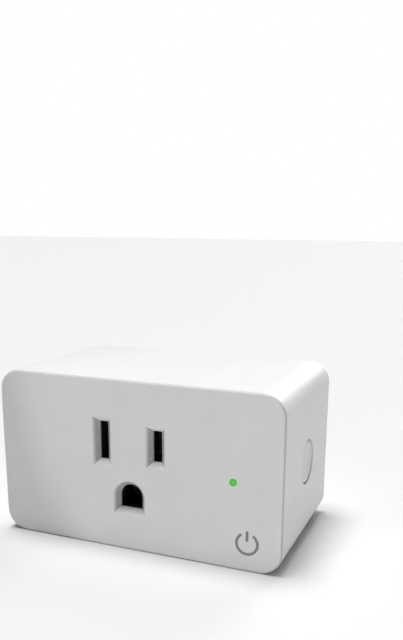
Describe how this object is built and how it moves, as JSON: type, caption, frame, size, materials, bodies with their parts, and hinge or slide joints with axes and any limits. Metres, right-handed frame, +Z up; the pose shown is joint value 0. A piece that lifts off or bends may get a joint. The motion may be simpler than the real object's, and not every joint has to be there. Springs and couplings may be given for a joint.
{
  "type": "smart plug",
  "caption": "Rounded rectangular switched plug-in adapter with a grounded socket in front, flat and round pins behind, a status light and a side push button.",
  "frame": {"origin": "in the rear face that lies on the wall plate, midway between the two flat pins", "axes": "+X to the right as the socket is faced, +Y into the wall along the pins, +Z up"},
  "size_m": [0.0662, 0.0588, 0.0377],
  "materials": {
    "shell": "satin moulded",
    "cover": "fine texture",
    "button": "smooth satin",
    "carrier": "moulded",
    "black_plastic": "moulded",
    "relay_plastic": "moulded",
    "nickel": "nickel plated",
    "brass": "stamped",
    "copper": "stamped",
    "steel": "zinc plated",
    "board_green": "solder mask",
    "board_black": "solder mask",
    "sleeve": "shrink sleeve",
    "ferrite": "sintered",
    "tape": "polyester tape",
    "disc_blue": "epoxy coated",
    "resistor_green": "lacquered",
    "light_pipe": "clear green",
    "led": "clear epoxy"
  },
  "bodies": {
    "casing": {"front_housing": "shell", "rear_cover": "cover", "rear_screw_1": "steel", "rear_screw_2": "steel", "rear_screw_3": "steel", "rear_screw_4": "steel", "blade_neutral": "nickel", "blade_hot": "nickel", "ground_pin": "nickel", "contact_carrier": "carrier", "contact_neutral": "brass", "contact_hot": "brass", "contact_ground": "brass", "ground_strap": "copper", "line_busbar": "copper", "load_busbar": "copper", "main_board": "board_green", "relay_case": "relay_plastic", "relay_base": "black_plastic", "relay_bobbin": "black_plastic", "relay_coil": "copper", "relay_core": "steel", "relay_yoke": "steel", "relay_fixed_contact": "brass", "relay_common_terminal": "brass", "capacitor_main": "sleeve", "capacitor_output": "sleeve", "transformer_core": "ferrite", "transformer_winding": "tape", "varistor": "disc_blue", "fuse_resistor": "resistor_green", "bridge_rectifier": "black_plastic", "power_chip": "black_plastic", "wireless_board": "board_black", "shield_can": "steel", "module_header": "black_plastic", "button_board": "board_green", "board_connector": "black_plastic", "switch_body": "black_plastic", "status_led": "led", "light_pipe": "light_pipe"},
    "button": {"button_cap": "button"},
    "plunger": {"switch_plunger": "carrier"},
    "armature": {"relay_armature": "steel", "relay_contact_arm": "copper"}
  },
  "joints": [
    {"name": "button_press", "type": "slide", "parent": "casing", "child": "button", "axis": [-1, 0, 0], "range_m": [0, 0.0005], "stiffness_N_per_m": 2000, "springref_m": -0.0003},
    {"name": "plunger_slide", "type": "slide", "parent": "casing", "child": "plunger", "axis": [-1, 0, 0], "range_m": [0, 0.0005]},
    {"name": "armature_swing", "type": "hinge", "parent": "casing", "child": "armature", "pos_m": [0.01745, -0.01082, 0.0003], "axis": [1, 0, 0], "range_deg": [0, 4.4], "stiffness_Nm_per_rad": 0.02, "springref_deg": -1.72}
  ],
  "couplings": [
    {"joint": "plunger_slide", "follows": "button_press", "ratio": 1}
  ]
}
